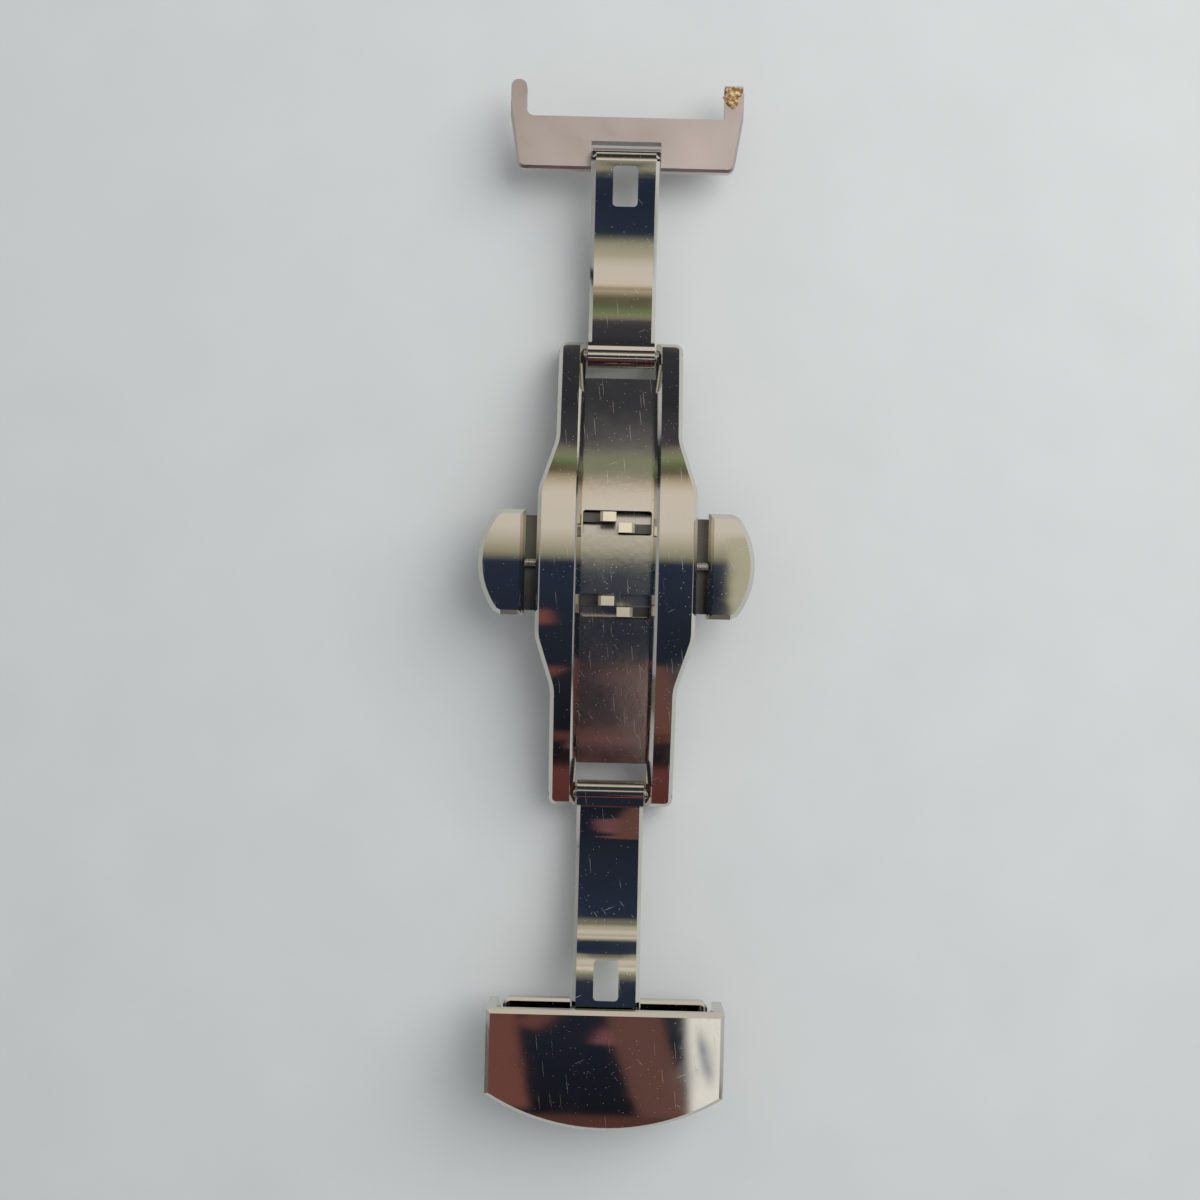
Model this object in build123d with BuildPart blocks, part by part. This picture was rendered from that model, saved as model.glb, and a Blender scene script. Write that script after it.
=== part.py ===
"""Push-button butterfly clasp for an 18 mm watch strap, lying open.

Units are millimetres. X runs across the clasp from button to button, Y runs along it towards the
end piece that lacks its cover, and Z points away from the wrist. The centre frame is a channel
arched round the wrist. An arm is hinged at each of its ends and folds back into the channel, where
two pairs of sprung hooks catch it. The origin is under the middle of the open clasp.
"""
import os
from math import asin, atan2, cos, degrees, hypot, pi, radians, sin

from build123d import *

os.makedirs("parts", exist_ok=True)

# Arch of the frame, measured on the arc through both frame hinges
arch_radius = 46.0
hinge_half_span = 16.8
rail_top_height = 0.70
rail_end_overrun = 1.0

# Layers of the frame, going down from the arch
floor_depth = 0.45
floor_thickness = 0.60
cavity_height = 0.70
ledge_thickness = 0.25
back_cover_thickness = 0.45

# Plan of the frame
rail_end_half_width = 4.75
frame_mid_half_width = 6.0
mechanism_offset = 0.70
wide_half_length = 5.5
flare_half_length = 9.4
flare_radius = 3.0
channel_half_width = 2.70
channel_bevel = 0.45
groove_width = 0.25
groove_depth = 0.15
upper_floor_end_gap = 2.75
lower_floor_end_gap = 3.30
rail_edge_bevel = 0.30
rail_corner_round = 0.60

# Windows in the floor
window_pitch = 6.3
window_width = 5.2
window_length = 1.85
window_corner = 0.20

# Arms
arm_half_width = 2.55
arm_inner_height = 0.35
arm_outer_height = 0.70
arm_edge_bevel = 0.28
knuckle_radius = 0.95
knuckle_pad_height = 0.90
knuckle_step_length = 1.15
open_tilt = 2.0
upper_arm_stop_angle = 2.75
lower_arm_stop_angle = 1.00
end_hinge_drop = 1.65
end_barrel_radius = 0.60
end_neck_thickness = 1.00
arm_end_round = 0.80
latch_hole_width = 1.90
latch_hole_length = 3.00
latch_hole_shift = 0.50
latch_hole_corner = 0.30
latch_ledge_thickness = 0.50
latch_pocket_margin = 0.60

# Hinge pins
frame_pin_radius = 0.45
end_pin_radius = 0.35
running_clearance = 0.04

# Latch plates and their hooks
latch_plate_thickness = 0.50
latch_plate_half_length = 3.60
latch_plate_inner_gap = 2.90
latch_slot_clearance = 0.20
hook_width = 0.72
hook_side_gap = 0.10
hook_stem_thickness = 0.66
hook_stem_offset = 0.10
hook_reach = 1.30
hook_head_height = 0.36
hook_head_clearance = 0.08
hook_ramp = 0.22
button_travel = 0.70

# Buttons, guide rods and springs
button_gap = 0.85
pad_depth = 3.50
pad_flat_length = 2.10
pad_half_length = 3.95
pad_top_height = 0.55
pad_thickness = 2.70
pad_edge_bevel = 0.35
pad_bevel = 0.40
rod_radius = 0.30
rod_drop = 0.25
rod_seat_depth = 1.00
rod_tip_length = 0.85
collar_radius = 0.55
collar_thickness = 0.35
spring_bore_clearance = 0.07
spring_wall = 0.70
spring_wire_radius = 0.07
spring_turns = 4
wire_side_count = 6
steps_per_turn = 12

# Back cover and its rivets
back_cover_half_width = 4.40
back_cover_half_length = 5.60
ledge_width = 1.0
cover_gap = 0.05
rivet_radius = 0.30
rivet_length = 0.90

# Clamp plates
clamp_thickness = 1.10
upper_web_length = 1.85
lower_web_length = 3.10
upper_clamp_half_width = 8.90
clamp_side_gap = 0.35
upper_side_taper = 0.65
upper_near_edge = 1.15
lower_near_edge = 1.00
notch_depth = 1.00
notch_clearance = 0.12
upper_ear_length = 2.75
lower_ear_length = 1.35
ear_width = 1.20
broken_ear_width = 1.45
ear_root_round = 0.60
clamp_corner_round = 0.60
clamp_edge_bevel = 0.20
broken_tip_cut = 0.70
broken_tip_drop = 0.50

# Cover of the lower end piece
cover_half_width = 8.90
cover_wall = 0.75
cover_height = 3.85
cover_near_overhang = 0.80
cover_side_length = 6.35
cover_arc_rise = 2.60
cover_crown_radius = 60.0
cover_edge_bevel = 0.30
pivot_radius = 0.40
catch_pin_radius = 0.25
catch_pin_proud = 0.15
strap_post_radius = 0.55
strap_post_tip_gap = 0.35
strap_post_tip_bevel = 0.25

overrun = 1.0

lower_clamp_half_width = cover_half_width - cover_wall - clamp_side_gap

# Worked-out layers of the frame, as radii about the centre of the arch
rail_top_radius = arch_radius + rail_top_height
floor_top_radius = arch_radius - floor_depth
floor_bottom_radius = floor_top_radius - floor_thickness
cavity_bottom_radius = floor_bottom_radius - cavity_height
ledge_bottom_radius = cavity_bottom_radius - ledge_thickness
frame_bottom_radius = ledge_bottom_radius - back_cover_thickness

# The rails' lower corners stand on the table, and the origin is under the middle of the clasp
frame_half_length = hinge_half_span + rail_end_overrun
arch_centre_z = -(frame_bottom_radius**2 - frame_half_length**2) ** 0.5
hinge_angle = degrees(asin(hinge_half_span / arch_radius))
hinge_drop = arch_radius * cos(radians(hinge_angle))
hinge_z = arch_centre_z + hinge_drop
fold_angle = 180 - hinge_angle + open_tilt


def barrel_offset(stop_angle):
    """Place of an arm's end barrel from its frame hinge when open: outwards, then up."""
    closed_radius = arch_radius + end_hinge_drop
    run = hinge_half_span - closed_radius * sin(radians(stop_angle))
    rise = closed_radius * cos(radians(stop_angle)) - hinge_drop
    reach = hypot(run, rise)
    angle = 180 - degrees(atan2(rise, run)) - fold_angle
    return reach * cos(radians(angle)), reach * sin(radians(angle))


upper_run, upper_rise = barrel_offset(upper_arm_stop_angle)
lower_run, lower_rise = barrel_offset(lower_arm_stop_angle)
upper_tip_y = hinge_half_span + upper_run + notch_depth + upper_web_length + upper_ear_length
cover_tip = cover_side_length + cover_arc_rise - cover_near_overhang
lower_tip_y = hinge_half_span + lower_run + cover_tip
centre_y = (lower_tip_y - upper_tip_y) / 2

arch_centre = (0, centre_y, arch_centre_z)
mechanism_y = centre_y + mechanism_offset
upper_window_y = mechanism_offset + window_pitch / 2
lower_window_y = mechanism_offset - window_pitch / 2
pad_inner_x = frame_mid_half_width + button_gap

# Side view through the centre of the arch: x along the clasp, y up
side_view = Plane(origin=arch_centre, x_dir=(0, 1, 0), z_dir=(1, 0, 0))


def side_plane(x, origin_y, origin_z, turn=0):
    """Side view at a distance x across, with its origin at a hinge and turned about it."""
    along = (0, cos(radians(turn)), sin(radians(turn)))
    return Plane(origin=(x, origin_y, origin_z), x_dir=along, z_dir=(1, 0, 0))


def band(inner_radius, outer_radius, low_y, high_y):
    """Sketch the piece of a ring about the arch's centre that lies from low_y to high_y."""
    Circle(outer_radius)
    Circle(inner_radius, mode=Mode.SUBTRACT)
    middle = (low_y + high_y) / 2
    with Locations((middle, outer_radius / 2)):
        Rectangle(high_y - low_y, outer_radius, mode=Mode.INTERSECT)


def arch_height(radius, y):
    """Height of a ring of the arch above the table at a distance y from the frame's middle."""
    return arch_centre_z + (radius**2 - y**2) ** 0.5


# Centre frame: two arched rails, the floor between them and the seats under it
with BuildPart() as centre_frame:
    with BuildSketch(side_view.offset(-frame_mid_half_width)):
        band(frame_bottom_radius, rail_top_radius, -frame_half_length, frame_half_length)
    extrude(amount=2 * frame_mid_half_width)
    with BuildSketch(Plane.XY.offset(-overrun)) as frame_plan:
        with Locations((0, centre_y)):
            Rectangle(2 * rail_end_half_width, 2 * frame_half_length)
        with BuildLine():
            Polyline(
                (frame_mid_half_width, mechanism_y - wide_half_length),
                (frame_mid_half_width, mechanism_y + wide_half_length),
                (rail_end_half_width, mechanism_y + flare_half_length),
                (-rail_end_half_width, mechanism_y + flare_half_length),
                (-frame_mid_half_width, mechanism_y + wide_half_length),
                (-frame_mid_half_width, mechanism_y - wide_half_length),
                (-rail_end_half_width, mechanism_y - flare_half_length),
                (rail_end_half_width, mechanism_y - flare_half_length),
                close=True,
            )
        make_face()
        plan_corners = frame_plan.vertices().filter_by(
            lambda corner: abs(corner.Y - centre_y) < frame_half_length - rail_end_overrun / 2
        )
        fillet(plan_corners, flare_radius)
    extrude(amount=arch_radius / 2, mode=Mode.INTERSECT)
    rail_ends = centre_frame.edges().filter_by(Axis.Z).group_by(Axis.Y)
    fillet(rail_ends[0] + rail_ends[-1], rail_corner_round)
    # channel with bevelled lips, open at both ends
    with BuildSketch(side_view.offset(-channel_half_width)):
        band(floor_top_radius, rail_top_radius + overrun, -frame_half_length - overrun,
             frame_half_length + overrun)
    extrude(amount=2 * channel_half_width, mode=Mode.SUBTRACT)
    lips = centre_frame.edges().filter_by(GeomType.CIRCLE).filter_by(
        lambda lip: abs(abs(lip.center().X) - channel_half_width) < running_clearance
        and abs(lip.radius - rail_top_radius) < running_clearance
    )
    chamfer(lips, channel_bevel)
    rail_tops = centre_frame.faces().filter_by(GeomType.CYLINDER).filter_by(
        lambda face: abs(face.radius - rail_top_radius) < running_clearance
    )
    outer_edges = rail_tops.edges().filter_by(
        lambda edge: abs(edge.center().X) > channel_half_width + channel_bevel + running_clearance
    )
    chamfer(outer_edges, rail_edge_bevel)
    # fine grooves beside the floor
    for groove_start in (-channel_half_width, channel_half_width - groove_width):
        with BuildSketch(side_view.offset(groove_start)):
            band(floor_top_radius - groove_depth, floor_top_radius + groove_depth,
                 -frame_half_length - overrun, frame_half_length + overrun)
        extrude(amount=groove_width, mode=Mode.SUBTRACT)
    # room for the arms' knuckles between the rail ends
    for end, floor_end_gap in ((-1, lower_floor_end_gap), (1, upper_floor_end_gap)):
        gap_centre = centre_y + end * (frame_half_length - floor_end_gap / 2 + overrun / 2)
        with BuildSketch(Plane.XY.offset(-overrun)):
            with Locations((0, gap_centre)):
                Rectangle(2 * channel_half_width, floor_end_gap + overrun)
        extrude(amount=arch_radius / 2, mode=Mode.SUBTRACT)
    # windows for the hooks
    with BuildSketch(Plane.XY.offset(-overrun)):
        with Locations((0, centre_y + upper_window_y), (0, centre_y + lower_window_y)):
            RectangleRounded(window_width, window_length, window_corner)
    extrude(amount=arch_radius / 2, mode=Mode.SUBTRACT)
    # slot through both flanks for the latch plates, and the opening and ledge of the back cover
    slot_half_length = latch_plate_half_length + latch_slot_clearance
    with BuildSketch(side_view.offset(-frame_mid_half_width - overrun)):
        band(cavity_bottom_radius, floor_bottom_radius, mechanism_offset - slot_half_length,
             mechanism_offset + slot_half_length)
    extrude(amount=2 * (frame_mid_half_width + overrun), mode=Mode.SUBTRACT)
    opening_half_width = back_cover_half_width - ledge_width
    opening_half_length = back_cover_half_length - ledge_width
    with BuildSketch(side_view.offset(-opening_half_width)):
        band(frame_bottom_radius - overrun, cavity_bottom_radius + cavity_height / 2,
             mechanism_offset - opening_half_length, mechanism_offset + opening_half_length)
    extrude(amount=2 * opening_half_width, mode=Mode.SUBTRACT)
    recess_half_length = back_cover_half_length + cover_gap
    with BuildSketch(side_view.offset(-back_cover_half_width - cover_gap)):
        band(frame_bottom_radius - overrun, ledge_bottom_radius,
             mechanism_offset - recess_half_length, mechanism_offset + recess_half_length)
    extrude(amount=2 * (back_cover_half_width + cover_gap), mode=Mode.SUBTRACT)
    # bores of the hinge pins and of the springs
    for end in (-1, 1):
        with BuildSketch(side_plane(-frame_mid_half_width, centre_y + end * hinge_half_span, hinge_z)):
            Circle(frame_pin_radius)
        extrude(amount=2 * frame_mid_half_width, mode=Mode.SUBTRACT)
    rod_z = arch_height(arch_radius - rod_drop, mechanism_offset)
    spring_bore_radius = collar_radius + spring_bore_clearance
    spring_bore_bottom = channel_half_width + channel_bevel + spring_wall
    spring_bore_depth = frame_mid_half_width - spring_bore_bottom
    for side in (-1, 1):
        bore_start = spring_bore_bottom if side > 0 else -frame_mid_half_width - overrun
        with BuildSketch(side_plane(bore_start, mechanism_y, rod_z)):
            Circle(spring_bore_radius)
        extrude(amount=spring_bore_depth + overrun, mode=Mode.SUBTRACT)


def rivet_planes():
    """Seats of the four rivets, square to the back cover, pointing into the frame."""
    planes = []
    for end in (-1, 1):
        seat_y = mechanism_offset + end * (back_cover_half_length - ledge_width / 2)
        lean = asin(seat_y / frame_bottom_radius)
        for side in (-1, 1):
            seat_x = side * (back_cover_half_width - ledge_width / 2)
            seat = (seat_x, centre_y + seat_y, arch_height(frame_bottom_radius, seat_y))
            planes.append(Plane(origin=seat, x_dir=(1, 0, 0), z_dir=(0, sin(lean), cos(lean))))
    return planes


with BuildPart() as back_cover:
    with BuildSketch(side_view.offset(-back_cover_half_width)):
        band(frame_bottom_radius, ledge_bottom_radius, mechanism_offset - back_cover_half_length,
             mechanism_offset + back_cover_half_length)
    extrude(amount=2 * back_cover_half_width)
    fillet(back_cover.edges().filter_by(Axis.Z, tolerance=10), rail_corner_round)
    for seat in rivet_planes():
        with BuildSketch(seat.offset(-overrun)):
            Circle(rivet_radius)
        extrude(amount=2 * overrun, mode=Mode.SUBTRACT)

with BuildPart() as cover_rivets:
    for seat in rivet_planes():
        with BuildSketch(seat):
            Circle(rivet_radius)
        extrude(amount=rivet_length)

for seat in rivet_planes():
    with BuildPart(mode=Mode.PRIVATE) as rivet_hole:
        with BuildSketch(seat.offset(-overrun)):
            Circle(rivet_radius)
        extrude(amount=rivet_length + overrun)
    centre_frame.part = centre_frame.part - rivet_hole.part


def open_arm_plane(end):
    """Side view of a closed arm about the arch's centre, turned to where the arm lies open."""
    turn = radians(fold_angle)
    along = Vector(0, -end * cos(turn), sin(turn))
    up = Vector(0, end * sin(turn), cos(turn))
    hinge = Vector(0, centre_y + end * hinge_half_span, hinge_z)
    return Plane(origin=hinge + along * hinge_half_span - up * hinge_drop, x_dir=along,
                 z_dir=(-end, 0, 0))


def radial_plane(view, radius, angle):
    """Plane square to a radius of the arch, at an angle before its crown, in a side view."""
    radial = view.y_dir * cos(radians(angle)) - view.x_dir * sin(radians(angle))
    return Plane(origin=view.origin + radial * radius, x_dir=(1, 0, 0), z_dir=radial)


def arm_solid(end, stop_angle, window_y):
    """Build the arm at one end where it lies open."""
    view = open_arm_plane(end)
    start = view.offset(-arm_half_width)
    closed_radius = arch_radius + end_hinge_drop
    barrel = (-closed_radius * sin(radians(stop_angle)), closed_radius * cos(radians(stop_angle)))
    hinge = (-hinge_half_span, hinge_drop)
    plate_end = barrel[0] + end_barrel_radius
    inner_radius = arch_radius - arm_inner_height
    hole_angle = degrees(asin(abs(window_y) / arch_radius) + latch_hole_shift / arch_radius)
    with BuildPart() as arm:
        with BuildSketch(start):
            band(inner_radius, arch_radius + arm_outer_height, -hinge_half_span, plate_end)
        extrude(amount=2 * arm_half_width)
        end_edges = arm.edges().filter_by(Axis.X).sort_by(
            lambda edge: (view.to_local_coords(edge.center()) - Vector(plate_end, inner_radius)).length
        )
        fillet(end_edges[0], arm_end_round)
        with BuildSketch(start):
            with Locations(barrel):
                Circle(end_barrel_radius)
            with Locations((barrel[0], barrel[1] - end_hinge_drop / 2)):
                Rectangle(end_neck_thickness, end_hinge_drop)
            with Locations(hinge):
                Circle(knuckle_radius)
        extrude(amount=2 * arm_half_width)
        with BuildSketch(start):
            band(arch_radius - knuckle_pad_height, arch_radius, -hinge_half_span,
                 knuckle_step_length - hinge_half_span)
        extrude(amount=2 * arm_half_width)
        flanks = arm.edges().filter_by(GeomType.CIRCLE).filter_by(
            lambda edge: abs(edge.radius - inner_radius) < running_clearance
        )
        chamfer(flanks, arm_edge_bevel)
        for place, radius in ((hinge, frame_pin_radius), (barrel, end_pin_radius)):
            with BuildSketch(start.offset(-overrun)):
                with Locations(place):
                    Circle(radius + running_clearance)
            extrude(amount=2 * (arm_half_width + overrun), mode=Mode.SUBTRACT)
        with BuildSketch(radial_plane(view, inner_radius - overrun / 2, hole_angle)):
            RectangleRounded(latch_hole_width, latch_hole_length, latch_hole_corner)
        extrude(amount=overrun + arm_inner_height + arm_outer_height, mode=Mode.SUBTRACT)
        with BuildSketch(radial_plane(view, inner_radius + latch_ledge_thickness, hole_angle)):
            RectangleRounded(latch_hole_width + 2 * latch_pocket_margin, latch_hole_length,
                             latch_hole_corner)
        extrude(amount=arm_inner_height + arm_outer_height, mode=Mode.SUBTRACT)
    return arm


upper_arm = arm_solid(1, upper_arm_stop_angle, upper_window_y)
lower_arm = arm_solid(-1, lower_arm_stop_angle, lower_window_y)


def pin_solid(radius, half_length, y, z):
    """Build a round pin that lies across the clasp."""
    with BuildPart() as pin:
        with BuildSketch(side_plane(-half_length, y, z)):
            Circle(radius)
        extrude(amount=2 * half_length)
    return pin


upper_end_y = centre_y + hinge_half_span + upper_run
upper_end_z = hinge_z + upper_rise
lower_end_y = centre_y - hinge_half_span - lower_run
lower_end_z = hinge_z + lower_rise
upper_frame_hinge_pin = pin_solid(frame_pin_radius, rail_end_half_width,
                                  centre_y + hinge_half_span, hinge_z)
lower_frame_hinge_pin = pin_solid(frame_pin_radius, rail_end_half_width,
                                  centre_y - hinge_half_span, hinge_z)
upper_end_hinge_pin = pin_solid(end_pin_radius, upper_clamp_half_width - upper_side_taper,
                                upper_end_y, upper_end_z)
lower_end_hinge_pin = pin_solid(end_pin_radius, lower_clamp_half_width, lower_end_y, lower_end_z)


def latch_plate_solid(side):
    """Build the sliding plate of one button, with a hook for each window."""
    inner_x = latch_plate_inner_gap
    low_radius = cavity_bottom_radius + (cavity_height - latch_plate_thickness) / 2
    plate_top = low_radius + latch_plate_thickness
    ledge_top = arch_radius - arm_inner_height + latch_ledge_thickness
    head_bottom = ledge_top + hook_head_clearance
    head_top = head_bottom + hook_head_height
    with BuildPart() as plate:
        with BuildSketch(side_view.offset(-pad_inner_x if side < 0 else inner_x)):
            band(low_radius, plate_top, mechanism_offset - latch_plate_half_length,
                 mechanism_offset + latch_plate_half_length)
        extrude(amount=pad_inner_x - inner_x)
        for window_y in (upper_window_y, lower_window_y):
            finger_y = window_y - side * (hook_width + hook_side_gap) / 2
            low_y = finger_y - hook_width / 2
            high_y = finger_y + hook_width / 2
            finger_end = side * hook_stem_offset
            with BuildSketch(side_view.offset(min(side * inner_x, finger_end))):
                band(low_radius, plate_top, low_y, high_y)
            extrude(amount=inner_x - hook_stem_offset)
            stem_start = min(finger_end, finger_end + side * hook_stem_thickness)
            with BuildSketch(side_view.offset(stem_start)):
                band(low_radius, head_top, low_y, high_y)
            extrude(amount=hook_stem_thickness)
            head_outer = side * hook_reach
            head_start = min(finger_end, head_outer)
            with BuildSketch(side_view.offset(head_start)):
                band(head_bottom, head_top, low_y, high_y)
            extrude(amount=hook_reach - hook_stem_offset)
            ramp = plate.edges().filter_by(
                lambda edge: abs(edge.center().X - head_outer) < running_clearance
                and (edge.center() - Vector(head_outer, centre_y, arch_centre_z)).length
                > head_top - hook_ramp
                and abs(edge.center().Y - centre_y - finger_y) < hook_width / 4
            )
            chamfer(ramp.sort_by(Axis.Z)[-1], hook_ramp)
    return plate


left_latch_plate = latch_plate_solid(-1)
right_latch_plate = latch_plate_solid(1)


def button_pad_solid(side):
    """Build the thumb pad of one button, crowned like the frame, with a seat for its guide rod."""
    outer_x = pad_inner_x + pad_depth
    shoulder_x = pad_inner_x + pad_flat_length
    with BuildPart() as pad:
        with BuildSketch(Plane.XY.offset(-overrun)):
            with BuildLine():
                Polyline(
                    (side * shoulder_x, mechanism_y + pad_half_length),
                    (side * pad_inner_x, mechanism_y + pad_half_length),
                    (side * pad_inner_x, mechanism_y - pad_half_length),
                    (side * shoulder_x, mechanism_y - pad_half_length),
                )
                ThreePointArc(
                    (side * shoulder_x, mechanism_y - pad_half_length),
                    (side * outer_x, mechanism_y),
                    (side * shoulder_x, mechanism_y + pad_half_length),
                )
            make_face()
        extrude(amount=arch_radius)
        with BuildSketch(side_view.offset(-outer_x)):
            band(arch_radius + pad_top_height - pad_thickness, arch_radius + pad_top_height,
                 mechanism_offset - 2 * pad_half_length, mechanism_offset + 2 * pad_half_length)
        extrude(amount=2 * outer_x, mode=Mode.INTERSECT)
        inner_edges = pad.edges().filter_by(
            lambda edge: abs(edge.center().X - side * pad_inner_x) < running_clearance
        )
        top_inner = inner_edges.sort_by(Axis.Z)[-1]
        chamfer(top_inner, pad_bevel)
        outer_rim = pad.edges().filter_by(
            lambda edge: abs(edge.center().X) > pad_inner_x + pad_bevel + running_clearance
        )
        chamfer(outer_rim, pad_edge_bevel)
        with BuildSketch(side_plane(-pad_inner_x - rod_seat_depth if side < 0 else pad_inner_x,
                                    mechanism_y, rod_z)):
            Circle(rod_radius)
        extrude(amount=rod_seat_depth, mode=Mode.SUBTRACT)
    return pad


left_button_pad = button_pad_solid(-1)
right_button_pad = button_pad_solid(1)

collar_outer_x = frame_mid_half_width - button_travel / 4
spring_outer_x = collar_outer_x - collar_thickness
rod_tip_x = spring_outer_x - rod_tip_length


def guide_rod_solid(side):
    """Build the rod that guides a button, with the collar that its spring pushes on."""
    def start(low, high):
        return low if side > 0 else -high

    with BuildPart() as rod:
        rod_outer_x = pad_inner_x + rod_seat_depth
        with BuildSketch(side_plane(start(rod_tip_x, rod_outer_x), mechanism_y, rod_z)):
            Circle(rod_radius)
        extrude(amount=rod_outer_x - rod_tip_x)
        with BuildSketch(side_plane(start(spring_outer_x, collar_outer_x), mechanism_y, rod_z)):
            Circle(collar_radius)
        extrude(amount=collar_thickness)
    return rod


left_guide_rod = guide_rod_solid(-1)
right_guide_rod = guide_rod_solid(1)

spring_radius = collar_radius - spring_wire_radius
spring_inner_x = spring_bore_bottom + spring_wire_radius
spring_length = spring_outer_x - spring_wire_radius - spring_inner_x


def return_spring_solid(side):
    """Wind the spring round a guide rod in short straight steps, which keep the hidden wire light."""
    step_count = spring_turns * steps_per_turn
    step_angle = 2 * pi / steps_per_turn
    coil = [
        (side * (spring_inner_x + spring_length * step / step_count),
         mechanism_y + spring_radius * cos(step * step_angle),
         rod_z + spring_radius * sin(step * step_angle))
        for step in range(step_count + 1)
    ]
    with BuildPart() as spring:
        with BuildLine() as winding:
            Polyline(*coil)
        with BuildSketch(Plane(origin=winding.line @ 0, z_dir=winding.line % 0)):
            RegularPolygon(spring_wire_radius, wire_side_count)
        sweep(path=winding.line, transition=Transition.RIGHT)
    return spring


left_return_spring = return_spring_solid(-1)
right_return_spring = return_spring_solid(1)


def clamp_plate_solid(end, end_y, end_z, half_width, side_taper, near_edge, web_length, ear_length,
                      broken_side):
    """Build the plate that carries the strap, with an ear at each side past its far edge."""
    near_y = end_y - end * near_edge
    far_y = end_y + end * (notch_depth + web_length)
    tip_y = far_y + end * ear_length
    plate_bottom = end_z - clamp_thickness / 2
    with BuildPart() as plate:
        with BuildSketch(Plane.XY.offset(plate_bottom)) as outline:
            with Locations((0, (near_y + far_y) / 2)):
                Rectangle(2 * half_width, abs(far_y - near_y))
            for side in (-1, 1):
                width = broken_ear_width if side == broken_side else ear_width
                with Locations((side * (half_width - width / 2), (near_y + tip_y) / 2)):
                    Rectangle(width, abs(tip_y - near_y))
                if side_taper:
                    with BuildLine():
                        Polyline(
                            (side * half_width, far_y),
                            (side * (half_width - side_taper), near_y),
                            (side * half_width, near_y),
                            close=True,
                        )
                    make_face(mode=Mode.SUBTRACT)
            notch_width = 2 * (arm_half_width + notch_clearance)
            notch_y = end_y + end * (notch_depth - overrun - near_edge) / 2
            with Locations((0, notch_y)):
                Rectangle(notch_width, notch_depth + near_edge + overrun, mode=Mode.SUBTRACT)
            near_corners = outline.vertices().filter_by(
                lambda corner: abs(corner.Y - near_y) < running_clearance
                and abs(corner.X) > half_width - side_taper - running_clearance
            )
            fillet(near_corners, clamp_corner_round)
            roots = outline.vertices().filter_by(
                lambda corner: abs(corner.Y - far_y) < running_clearance
                and abs(corner.X) < half_width - running_clearance
                and (corner.X * broken_side < running_clearance or broken_side == 0)
            )
            fillet(roots, ear_root_round)
            tips = outline.vertices().filter_by(
                lambda corner: abs(corner.Y - tip_y) < running_clearance
                and (corner.X * broken_side < running_clearance or broken_side == 0)
            )
            fillet(tips, ear_width / 2 - running_clearance)
        extrude(amount=clamp_thickness)
        near_edges = plate.edges().filter_by(Axis.Z, reverse=True).filter_by(
            lambda edge: abs(edge.center().Y - near_y) < clamp_corner_round / 2
        )
        chamfer(near_edges, clamp_edge_bevel)
        if broken_side:
            # the ear whose hinge lug has snapped off ends in a skewed, lower stump
            outer_x = broken_side * (half_width + overrun)
            inner_x = broken_side * (half_width - broken_ear_width - overrun)
            with BuildSketch(Plane.XY.offset(end_z + clamp_thickness / 2 - broken_tip_drop)):
                with BuildLine():
                    Polyline(
                        (outer_x, tip_y + end * overrun),
                        (inner_x, tip_y + end * overrun),
                        (inner_x, tip_y - 2 * end * broken_tip_cut),
                        (outer_x, tip_y - end * broken_tip_cut / 2),
                        close=True,
                    )
                make_face()
            extrude(amount=clamp_thickness, mode=Mode.SUBTRACT)
        with BuildSketch(side_plane(-half_width, end_y, end_z)):
            Circle(end_pin_radius)
        extrude(amount=2 * half_width, mode=Mode.SUBTRACT)
        with BuildSketch(side_plane(-half_width, tip_y - end * ear_width / 2, end_z)):
            Circle(pivot_radius + running_clearance)
        extrude(amount=2 * half_width, mode=Mode.SUBTRACT)
    return plate


upper_clamp_plate = clamp_plate_solid(1, upper_end_y, upper_end_z, upper_clamp_half_width,
                                      upper_side_taper, upper_near_edge, upper_web_length,
                                      upper_ear_length, 1)
lower_clamp_plate = clamp_plate_solid(-1, lower_end_y, lower_end_z, lower_clamp_half_width,
                                      0, lower_near_edge, lower_web_length, lower_ear_length, 0)

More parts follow.
